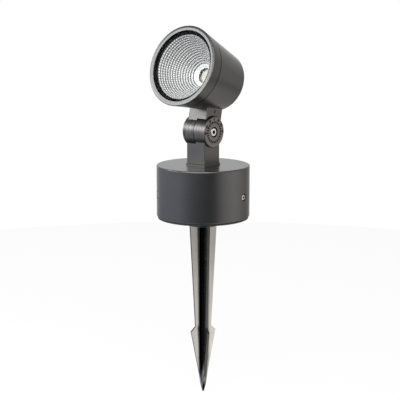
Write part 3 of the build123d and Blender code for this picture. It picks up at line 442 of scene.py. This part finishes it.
def spike_metal(graph, colour, root_colour, edge_colour):
    """Satin metal with faint lines along the spike, with painted shade and dark reflection in the fins' roots and
    painted dark reflection on their edges.
    """
    where = graph.place()
    lines = graph.noise(graph.shift(where, LINE_STRETCH), scale=700.0, detail=3.0, roughness=0.6)
    soft = graph.noise(where, scale=90.0, detail=4.0)
    colours = graph.mottle(soft, colour, 0.88, 1.1)
    from_axis = graph.shift(where, (1.0, 1.0, 0.0))

    height = graph.split(where)["Z"]
    shank = graph.spread(height, ROOT_R_LOW, ROOT_R_TOP, ROOT_LOW_Z, 0.0)
    point = graph.spread(height, ROOT_R_TIP, ROOT_R_LOW, SPIKE_TIP_Z, ROOT_LOW_Z)
    waver = graph.spread(lines, -ROOT_WAVER, ROOT_WAVER)
    root = graph.math("ADD", graph.math("MINIMUM", shank, point), waver)
    past_root = graph.math("SUBTRACT", graph.length(from_axis), root)
    # painted shade and dark reflection: near black in the fins' roots, where the faces turn in towards each other
    colours = graph.blend(graph.share(past_root, *ROOT_FADE), opaque(*root_colour), colours)

    # painted dark reflection: faces that look outward from the axis turn dark outside the roots, on the fins'
    # edges and barbs
    true_normal = graph.add("ShaderNodeNewGeometry").outputs["True Normal"]
    outward = graph.dot(true_normal, graph.vector("NORMALIZE", from_axis))
    edge = graph.math("MULTIPLY", outward, graph.share(past_root, *EDGE_FADE))
    colours = graph.blend(graph.share(edge, *EDGE_OUTWARD), colours, opaque(*edge_colour))
    graph.surface(
        Base_Color=colours,
        Roughness=graph.spread(lines, 0.13, 0.24),
        Metallic=1.0,
        Normal=graph.bump(lines, 0.02 * MM, strength=0.3),
    )


def facet_metal(graph, colour):
    """Bright and softly shining, with painted shade in the grooves between the facets, which the mesh marks."""
    fine = graph.noise(graph.place(), scale=2500.0)
    groove_shade = graph.add("ShaderNodeAttribute", attribute_name=GROOVE_SHADE).outputs["Fac"]
    graph.surface(
        # painted shade: the colour falls to a twentieth of itself in the grooves
        Base_Color=graph.blend(groove_shade, opaque(*colour), opaque(*tint(colour, 0.05))),
        Roughness=graph.spread(fine, 0.22, 0.3),
        Metallic=0.12,
        Normal=graph.bump(fine, 0.01 * MM, strength=0.3),
    )


def clear_glass(graph, colour, roughness, ior):
    """Clear, with a faint gloss that grows where it is seen at a slant."""
    clear = graph.add("ShaderNodeBsdfTransparent")
    clear.inputs["Color"].default_value = opaque(*colour)
    gloss = graph.add("ShaderNodeBsdfGlossy")
    gloss.inputs["Roughness"].default_value = roughness
    edge = graph.add("ShaderNodeFresnel")
    edge.inputs["IOR"].default_value = ior
    graph.finish(graph.mix(edge.outputs["Fac"], clear.outputs["BSDF"], gloss.outputs["BSDF"]))


FINISHES = {
    "anthracite_coat": (coat, dict(colour=(0.105, 0.107, 0.11), roughness=0.28)),
    "anthracite_turned": (coat, dict(colour=(0.112, 0.109, 0.107), roughness=0.38, turned=True)),
    "anthracite_bezel": (coat, dict(colour=(0.09, 0.09, 0.091), roughness=0.3, leaning=True)),
    "black_coat": (plain, dict(colour=(0.018, 0.018, 0.019), roughness=0.4)),
    "spike_metal": (
        spike_metal,
        # the roots' and edges' colours are painted shade and dark reflection
        dict(colour=(0.5, 0.5, 0.49), root_colour=(0.0035,) * 3, edge_colour=(0.07,) * 3),
    ),
    "black_rubber": (
        plain,
        dict(colour=(0.007, 0.007, 0.007), roughness=0.85, depth=0.01 * MM, Specular_IOR_Level=0.05),
    ),
    # the screws' sockets get painted shade
    "stainless": (brushed, dict(colour=(0.68, 0.68, 0.69), roughness=0.24, hollow=True)),
    "brass": (brushed, dict(colour=(0.74, 0.56, 0.28), roughness=0.3)),
    "black_plastic": (plain, dict(colour=(0.02, 0.02, 0.021), roughness=0.42)),
    "driver_plastic": (plain, dict(colour=(0.7, 0.7, 0.68), roughness=0.5, mottle=0.03)),
    "circuit_board": (plain, dict(colour=(0.03, 0.2, 0.09), roughness=0.3, scale=500.0)),
    "lead_insulation": (plain, dict(colour=(0.45, 0.05, 0.035), roughness=0.45)),
    "glass": (clear_glass, dict(colour=(0.985, 0.99, 0.988), roughness=0.14, ior=1.05)),
    "reflector_aluminium": (facet_metal, dict(colour=(0.97, 0.97, 0.975))),
    "holder_plastic": (plain, dict(colour=(0.16, 0.16, 0.165), roughness=0.35, mottle=0.04)),
    "board_aluminium": (brushed, dict(colour=(0.78, 0.78, 0.79), roughness=0.35)),
    "emitter": (plain, dict(colour=(0.6, 0.58, 0.5), roughness=0.4, mottle=0.03, scale=900.0)),
    "mark_paint": (plain, dict(colour=(0.004, 0.004, 0.004), roughness=0.9, Specular_IOR_Level=0.05)),
}
OWN_FINISHES = {                # nodes whose finish differs from that of their slot
    "lower_post": "anthracite_turned",
    "upper_arm": "anthracite_turned",
    "front_bezel": "anthracite_bezel",
}


# ---- helpers for pieces ----
def turn_by(degrees, axis):
    """A turn about an axis through the origin."""
    return Matrix.Rotation(math.radians(degrees), 4, axis)


def head_frame():
    """The head's axes: Z looks out of its front, and Y up."""
    tilt = Matrix.Translation((0, 0, TILT_Z)) @ turn_by(90 - HEAD_TILT, "X")
    return tilt @ Matrix.Translation((0, HEAD_RISE, HEAD_REACH))


def about(middle, size):
    """The lowest and highest place of something that size."""
    return middle - size / 2, middle + size / 2


def bar(mesh, axes, x, y, z):
    """A bar between three (low, high) pairs, along the axes that are given."""
    made = bmesh.ops.create_cube(mesh, size=1.0)["verts"]
    for vert in made:
        place = [low + (part + 0.5) * (high - low) for part, (low, high) in zip(vert.co, (x, y, z))]
        vert.co = axes @ Vector(place)


def object_from(mesh, name):
    """The finished mesh as an object in the scene."""
    data = bpy.data.meshes.new(name)
    mesh.to_mesh(data)
    mesh.free()
    piece = bpy.data.objects.new(name, data)
    bpy.context.scene.collection.objects.link(piece)
    return piece


# ---- reflector ----
def bowl_r(depth):
    """The bowl's radius at a depth: it is a paraboloid between the aperture and the rim."""
    share = (APERTURE_DEPTH - depth) / (APERTURE_DEPTH - RIM_DEPTH)
    return math.sqrt(APERTURE_R ** 2 + share * (RIM_R ** 2 - APERTURE_R ** 2))


def bowl_depth(radius):
    """The bowl's depth at a radius."""
    share = (radius ** 2 - APERTURE_R ** 2) / (RIM_R ** 2 - APERTURE_R ** 2)
    return APERTURE_DEPTH - share * (APERTURE_DEPTH - RIM_DEPTH)


def hump(share):
    """From 0 on a facet's edges to 1 in its middle."""
    return 4 * share * (1 - share)


def groove_share(share, groove_shade, flank):
    """How much painted shade a point of a facet has, by its place between the grooves on both sides."""
    steps = round(min(share, 1 - share) * FACET_STEPS)
    if steps == 0:
        return groove_shade
    return flank if steps == 1 else 0.0


def bowl_profile():
    """Places along the bowl from the aperture to the rim: radius, depth, share through a ring of facets.
    The smooth band has None as its share. The rings are equally long, measured along the bowl."""
    flare = [APERTURE_R + (FLARE_R - APERTURE_R) * number / FLARE_STEPS for number in range(FLARE_STEPS)]
    points = [(radius, bowl_depth(radius), None) for radius in flare]
    part = RIM_R - FLARE_R
    samples = [FLARE_R + part * number / PROFILE_SAMPLES for number in range(PROFILE_SAMPLES + 1)]
    lengths = [0.0]
    for here, after in zip(samples, samples[1:]):
        lengths.append(lengths[-1] + math.dist((here, bowl_depth(here)), (after, bowl_depth(after))))
    steps = FACET_RINGS * FACET_STEPS
    for number in range(steps + 1):
        goal = lengths[-1] * number / steps
        radius = samples[bisect_left(lengths, goal - ROUNDING)]
        points.append((radius, bowl_depth(radius), (number % FACET_STEPS) / FACET_STEPS))
    return points


def wall_profile():
    """Places from the rim over the flange and down the outer wall: radius and depth."""
    points = [(RIM_R + RIM_LIP, RIM_DEPTH), (bowl_r(FLANGE_FRONT) + REFLECTOR_WALL, FLANGE_FRONT)]
    points += [(FLANGE_R, FLANGE_FRONT), (FLANGE_R, FLANGE_BACK)]
    fall = APERTURE_DEPTH - FLANGE_BACK
    depths = [FLANGE_BACK + fall * number / WALL_STEPS for number in range(WALL_STEPS + 1)]
    return points + [(bowl_r(depth) + REFLECTOR_WALL, depth) for depth in depths]


def facet_point(radius, depth, share, column):
    """Radius, height and painted shade of a point of the bowl, with its facet's pillow added."""
    if share is None:
        return radius, -depth, FLARE_SHADE
    across = (column % FACET_STEPS) / FACET_STEPS
    lift = RING_SCALLOP * hump(share) + COLUMN_SCALLOP * hump(across)
    on_ring = groove_share(share, RING_GROOVE, RING_FLANK)
    on_column = groove_share(across, COLUMN_GROOVE, COLUMN_FLANK)
    height = lift * math.sin(BOWL_SLOPE) - depth
    return radius - lift * math.cos(BOWL_SLOPE), height, max(on_ring, on_column)


def add_ring(mesh, groove_shade, points):
    """A closed ring of vertices round the head's axis, one for each radius, height and painted shade."""
    ring = []
    for column, (radius, height, dark) in enumerate(points):
        angle = 2 * math.pi * column / len(points)
        vert = mesh.verts.new((radius * math.cos(angle), radius * math.sin(angle), height))
        vert[groove_shade] = dark
        ring.append(vert)
    return ring


def make_reflector():
    """The bowl with its rows of small pillows, closed by its outer wall and flange."""
    mesh = bmesh.new()
    groove_shade = mesh.verts.layers.float.new(GROOVE_SHADE)
    around = FACET_COLUMNS * FACET_STEPS
    rings = []
    for place in bowl_profile():
        rings.append(add_ring(mesh, groove_shade, [facet_point(*place, column) for column in range(around)]))
    for radius, depth in wall_profile():
        # painted shade on the rim's lip and the flange's front
        dark = RIM_SHADE if depth < FLANGE_BACK else 0.0
        rings.append(add_ring(mesh, groove_shade, [(radius, -depth, dark)] * around))
    for ring, after in zip(rings, rings[1:] + rings[:1]):
        for column in range(around):
            beside = (column + 1) % around
            mesh.faces.new((ring[column], ring[beside], after[beside], after[column]))
    bmesh.ops.recalc_face_normals(mesh, faces=mesh.faces)
    bmesh.ops.transform(mesh, matrix=head_frame(), verts=mesh.verts)
    return object_from(mesh, "reflector_facets")


# ---- marks ----
def make_dial_marks():
    """Dark paint over the dial's engraved marks, just proud of its face."""
    mesh = bmesh.new()
    for number in range(DIAL_MARKS):
        axes = Matrix.Translation((0, 0, TILT_Z)) @ turn_by(360 * number / DIAL_MARKS, "X")
        bar(mesh, axes, (DIAL_X, DIAL_X + PRINT_T), about(0, PAINT_W), (MARK_LOW, MARK_HIGH))
    return object_from(mesh, "dial_marks")


def make_index_mark():
    """Dark paint over the arm's index mark."""
    mesh = bmesh.new()
    axes = Matrix.Translation((0, 0, TILT_Z)) @ turn_by(-ARM_TILT, "X")
    bar(mesh, axes, (ARM_X, ARM_X + PRINT_T), about(0, PAINT_W), about(INDEX_RISE, INDEX_L))
    return object_from(mesh, "index_mark_paint")


def make_dial_numbers():
    """The angles printed round the upper half of the dial. A bevel makes the strokes bolder, and the
    flattening takes out the thickness that it adds."""
    mesh = bmesh.new()
    face = Matrix.Translation((DIAL_X + PRINT_T / 2, 0, TILT_Z)) @ turn_by(90, "Z") @ turn_by(90, "X")
    flatten = Matrix.Diagonal((1, 1, PRINT_T / (PRINT_T + 2 * NUMBER_WEIGHT), 1))
    for angle in DIAL_ANGLES:
        curve = bpy.data.curves.new("number", "FONT")
        curve.body = str(abs(angle))
        curve.align_x = "CENTER"
        curve.align_y = "CENTER"
        curve.size = NUMBER_SIZE
        curve.extrude = PRINT_T / 2
        curve.bevel_depth = NUMBER_WEIGHT
        curve.bevel_resolution = 0
        holder = bpy.data.objects.new("number", curve)
        bpy.context.scene.collection.objects.link(holder)
        bpy.context.view_layer.update()
        depsgraph = bpy.context.evaluated_depsgraph_get()
        made = bpy.data.meshes.new_from_object(holder.evaluated_get(depsgraph))
        made.transform(face @ turn_by(-angle, "Z") @ Matrix.Translation((0, NUMBER_R, 0)) @ flatten)
        mesh.from_mesh(made)
        bpy.data.objects.remove(holder)
    return object_from(mesh, "dial_numbers")


# ---- studio ----
def from_camera(angle, elevation, distance):
    """A place round the object, at an angle to the right of the camera and a height above the horizon."""
    azimuth = math.radians(CAMERA_AZIMUTH + angle)
    lift = math.radians(elevation)
    across = math.cos(lift)
    return Vector((math.sin(azimuth) * across, -math.cos(azimuth) * across, math.sin(lift))) * distance


def add_looking(name, data, place, back):
    """A camera or lamp at a place, looking against the direction back."""
    holder = bpy.data.objects.new(name, data)
    holder.location = place
    holder.rotation_mode = "QUATERNION"
    holder.rotation_quaternion = (-back).to_track_quat("-Z", "Y")
    bpy.context.scene.collection.objects.link(holder)
    return holder


def make_camera():
    """The photograph's view."""
    lens = bpy.data.cameras.new("camera")
    lens.lens = CAMERA_LENS
    lens.sensor_width = CAMERA_SENSOR
    lens.clip_end = CAMERA_SIGHT
    back = from_camera(0.0, CAMERA_ELEVATION, 1.0)
    place = Vector(CAMERA_TARGET) + back * CAMERA_DISTANCE
    bpy.context.scene.camera = add_looking("camera", lens, place, back)


def make_softbox(name, angle, elevation, distance, width, height, power):
    """A lamp with a rectangular face that looks at the origin."""
    lamp = bpy.data.lights.new(name, "AREA")
    lamp.shape = "RECTANGLE"
    lamp.size = width
    lamp.size_y = height
    lamp.energy = power
    place = from_camera(angle, elevation, distance)
    add_looking(name, lamp, place, place)


def studio_sides(graph, where, stops):
    """How light the studio is by the angle of a place or direction round the object."""
    ahead = graph.dot(where, from_camera(0.0, 0.0, 1.0))
    aside = graph.dot(where, from_camera(90.0, 0.0, 1.0))
    turn = graph.share(graph.math("ARCTAN2", aside, ahead), -math.pi, math.pi)
    levels = []
    for angle, level, colour in stops:
        levels.append(((angle + 180) / 360, tint(colour, level / STUDIO_TOP_LEVEL)))
    return graph.ramp(turn, levels)


def make_world():
    """White where the camera looks. Else a soft studio, dark before the object and light beside it."""
    world = bpy.data.worlds.new("studio")
    bpy.context.scene.world = world
    graph = Graph(world)
    path = graph.add("ShaderNodeLightPath").outputs
    where = graph.add("ShaderNodeTexCoord").outputs["Generated"]
    rise = graph.dot(where, Vector((0, 0, 1)))
    low = studio_sides(graph, where, STUDIO_LOW)
    high = studio_sides(graph, where, STUDIO_HIGH)
    sides = graph.blend(graph.share(rise, *STUDIO_CHANGE), low, high)
    stops = [((math.sin(math.radians(angle)) + 1) / 2, (level,) * 3) for angle, level in STUDIO_HEIGHTS]
    heights = graph.ramp(graph.share(rise, -1.0, 1.0), stops)
    levels = graph.vector("MULTIPLY", sides, heights)
    studio = graph.vector("MULTIPLY", levels, (STUDIO_TOP_LEVEL,) * 3)
    behind = graph.share(graph.dot(where, from_camera(180.0, 0.0, 1.0)), *BACKDROP_EDGE)
    gloss = graph.math("MULTIPLY", path["Is Glossy Ray"], behind)
    white = graph.math("ADD", graph.seen(path), gloss, clamp=True)
    background = graph.add("ShaderNodeBackground")
    graph.feed(background.inputs["Color"], graph.blend(white, studio, WHITE))
    graph.finish(background.outputs["Background"], "ShaderNodeOutputWorld")


def floor_white(graph):
    """White with a soft shadow for the camera. Reflections show it dark and light as the studio round it
    is, and lighter near the object."""
    path = graph.add("ShaderNodeLightPath").outputs
    gloss = path["Is Glossy Ray"]
    matt = graph.add("ShaderNodeBsdfDiffuse")
    graph.feed(matt.inputs["Color"], graph.spread(path["Is Camera Ray"], FLOOR_BOUNCE, FLOOR_SEEN))
    where = graph.place()
    level = graph.spread(graph.length(where), FLOOR_NEAR_LEVEL, FLOOR_FAR_LEVEL, *FLOOR_FADE)
    around = graph.vector("MULTIPLY", studio_sides(graph, where, STUDIO_LOW), level)
    glow = graph.add("ShaderNodeEmission")
    graph.feed(glow.inputs["Color"], graph.blend(gloss, WHITE, around))
    seen = graph.math("ADD", graph.seen(path), gloss, clamp=True)
    share = graph.math("MULTIPLY", seen, FLOOR_GLOW)
    graph.finish(graph.mix(share, matt.outputs["BSDF"], glow.outputs["Emission"]))


def make_floor():
    """A round floor just under the spike's tip."""
    mesh = bmesh.new()
    bmesh.ops.create_circle(mesh, cap_ends=True, segments=FLOOR_SIDES, radius=FLOOR_R)
    floor = object_from(mesh, "floor")
    floor.location = (0, 0, SPIKE_TIP_Z - FLOOR_GAP)
    floor.data.materials.append(material_from("floor_white", floor_white))


# ---- the scene ----
def dress_nodes(finishes):
    """Gives each node of the frame its finish."""
    for sub in frame["record"]["subparts"]:
        name = OWN_FINISHES.get(sub["node"], sub["material_slot"])
        materials = frame["nodes"][sub["node"]].data.materials
        materials.clear()
        materials.append(finishes[name])


def add_marks(paint):
    """The marks of the dial and the arm, each on the body that carries it."""
    marks = [(make_dial_marks(), "post"), (make_dial_numbers(), "post"), (make_index_mark(), "head")]
    for piece, body in marks:
        piece.data.materials.clear()
        piece.data.materials.append(paint)
        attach(piece, body)


def add_reflector(metal):
    """The faceted reflector in place of the smooth one."""
    reflector = make_reflector()
    reflector.data.materials.append(metal)
    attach(reflector, "head")
    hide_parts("reflector")


def main():
    """The camera, the studio, the finishes and the scene's own pieces."""
    make_camera()
    make_world()
    make_floor()
    for name, settings in LAMPS.items():
        make_softbox(name, **settings)
    bpy.context.scene.view_settings.view_transform = "Standard"

    finishes = {}
    for name, (finish, settings) in FINISHES.items():
        finishes[name] = material_from(name, finish, **settings)
    dress_nodes(finishes)
    add_marks(finishes["mark_paint"])
    add_reflector(finishes["reflector_aluminium"])


main()
